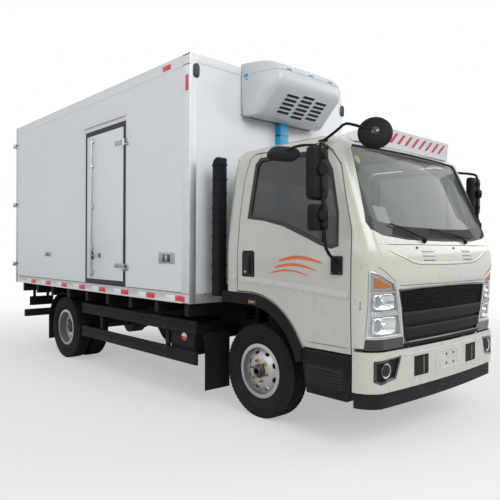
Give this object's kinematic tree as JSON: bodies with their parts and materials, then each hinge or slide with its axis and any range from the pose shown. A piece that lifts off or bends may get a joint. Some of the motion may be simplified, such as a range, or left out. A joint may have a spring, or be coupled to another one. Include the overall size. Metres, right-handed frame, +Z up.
{
  "type": "refrigerated box truck",
  "caption": "Light cab-over truck with an insulated cargo box, front-mounted cooling unit, opening doors, tilting cab, steered front wheels and twin rear wheels.",
  "frame": {"origin": "on the ground under the middle of the truck's length and width", "axes": "+Z up, +Y towards the rear doors, so the truck faces -Y, and +X to the truck's left"},
  "size_m": [2.51, 5.995, 3.16],
  "materials": {
    "frame_black": "satin chassis paint",
    "galvanised": "dull galvanised steel",
    "panel_white": "smooth white glass-fibre skin",
    "rail_metal": "brushed extrusion",
    "stainless": "brushed stainless steel",
    "cab_paint": "glossy ivory paint",
    "black_plastic": "grained black plastic",
    "unit_shell": "moulded white shell",
    "blue_plastic": "blue pipe cover",
    "window_glass": "tinted window glass",
    "lamp_lens": "clear lamp lens",
    "red_lens": "red lamp lens",
    "tyre_rubber": "black tyre rubber",
    "rim_silver": "silver rim paint",
    "seat_fabric": "dark grey seat cloth",
    "cast_grey": "bare casting",
    "alloy_tank": "mill finish sheet"
  },
  "bodies": {
    "chassis": {"chassis_frame": "frame_black", "box_subframe": "frame_black", "front_axle": "cast_grey", "leaf_springs": "frame_black", "rear_axle": "cast_grey", "powertrain": "cast_grey", "fuel_tank": "alloy_tank", "battery_box": "frame_black", "side_guards": "black_plastic", "mudguards": "black_plastic", "underride_bar": "frame_black", "chassis_lamps": "red_lens", "front_bumper": "cab_paint", "bumper_lip": "black_plastic", "intake_duct": "black_plastic", "box_floor": "galvanised", "box_roof": "panel_white", "box_front_wall": "panel_white", "box_left_wall": "panel_white", "box_right_wall": "panel_white", "rear_door_frame": "stainless", "box_edge_rails": "rail_metal", "refrigeration_unit": "unit_shell", "pipe_cover": "blue_plastic"},
    "cab": {"cab_shell": "cab_paint", "roof_board": "panel_white", "cab_glass": "window_glass", "grille": "black_plastic", "headlamps": "lamp_lens", "seats": "seat_fabric", "dashboard": "black_plastic", "wheel_arch_trim": "black_plastic", "front_mirror": "black_plastic"},
    "left_door": {"left_door": "cab_paint", "left_door_glass": "window_glass", "left_mirrors": "black_plastic"},
    "right_door": {"right_door": "cab_paint", "right_door_glass": "window_glass", "right_mirrors": "black_plastic"},
    "steering_wheel": {"steering_wheel": "black_plastic"},
    "side_door": {"side_door": "panel_white", "side_door_latch": "stainless"},
    "rear_left_door": {"rear_left_door": "panel_white", "rear_left_latch": "stainless"},
    "rear_right_door": {"rear_right_door": "panel_white", "rear_right_latch": "stainless"},
    "left_knuckle": {"left_knuckle": "cast_grey"},
    "right_knuckle": {"right_knuckle": "cast_grey"},
    "front_left_wheel": {"front_left_tyre": "tyre_rubber", "front_left_rim": "rim_silver"},
    "front_right_wheel": {"front_right_tyre": "tyre_rubber", "front_right_rim": "rim_silver"},
    "rear_left_wheels": {"rear_left_tyres": "tyre_rubber", "rear_left_rims": "rim_silver"},
    "rear_right_wheels": {"rear_right_tyres": "tyre_rubber", "rear_right_rims": "rim_silver"}
  },
  "joints": [
    {"name": "cab_tilt", "type": "hinge", "parent": "chassis", "child": "cab", "pos_m": [0, -2.9495, 0.64], "axis": [1, 0, 0], "range_deg": [0, 45]},
    {"name": "left_door_swing", "type": "hinge", "parent": "cab", "child": "left_door", "pos_m": [0.945, -2.8425, 1.3], "axis": [0, 0, -1], "range_deg": [0, 70]},
    {"name": "right_door_swing", "type": "hinge", "parent": "cab", "child": "right_door", "pos_m": [-0.945, -2.8425, 1.3], "axis": [0, 0, 1], "range_deg": [0, 70]},
    {"name": "steering_wheel_turn", "type": "hinge", "parent": "cab", "child": "steering_wheel", "pos_m": [0.45, -2.3875, 1.42], "axis": [0, 0.6157, 0.788], "range_deg": [-540, 540]},
    {"name": "side_door_swing", "type": "hinge", "parent": "chassis", "child": "side_door", "pos_m": [-1.165, -0.1125, 1.8], "axis": [0, 0, 1], "range_deg": [0, 180]},
    {"name": "rear_left_door_swing", "type": "hinge", "parent": "chassis", "child": "rear_left_door", "pos_m": [1.158, 2.9855, 2], "axis": [0, 0, -1], "range_deg": [0, 270]},
    {"name": "rear_right_door_swing", "type": "hinge", "parent": "chassis", "child": "rear_right_door", "pos_m": [-1.158, 2.9855, 2], "axis": [0, 0, 1], "range_deg": [0, 270]},
    {"name": "left_steer", "type": "hinge", "parent": "chassis", "child": "left_knuckle", "pos_m": [0.66, -1.8275, 0.386], "axis": [0, 0, 1], "range_deg": [-35, 35]},
    {"name": "right_steer", "type": "hinge", "parent": "chassis", "child": "right_knuckle", "pos_m": [-0.66, -1.8275, 0.386], "axis": [0, 0, 1], "range_deg": [-35, 35]},
    {"name": "front_left_wheel_spin", "type": "hinge", "parent": "left_knuckle", "child": "front_left_wheel", "pos_m": [0.81, -1.8275, 0.386], "axis": [1, 0, 0], "continuous": true},
    {"name": "front_right_wheel_spin", "type": "hinge", "parent": "right_knuckle", "child": "front_right_wheel", "pos_m": [-0.81, -1.8275, 0.386], "axis": [1, 0, 0], "continuous": true},
    {"name": "rear_left_wheels_spin", "type": "hinge", "parent": "chassis", "child": "rear_left_wheels", "pos_m": [0.82, 1.5325, 0.386], "axis": [1, 0, 0], "continuous": true},
    {"name": "rear_right_wheels_spin", "type": "hinge", "parent": "chassis", "child": "rear_right_wheels", "pos_m": [-0.82, 1.5325, 0.386], "axis": [1, 0, 0], "continuous": true}
  ],
  "couplings": [
    {"joint": "right_steer", "follows": "left_steer", "ratio": 1},
    {"joint": "steering_wheel_turn", "follows": "left_steer", "ratio": 15}
  ]
}
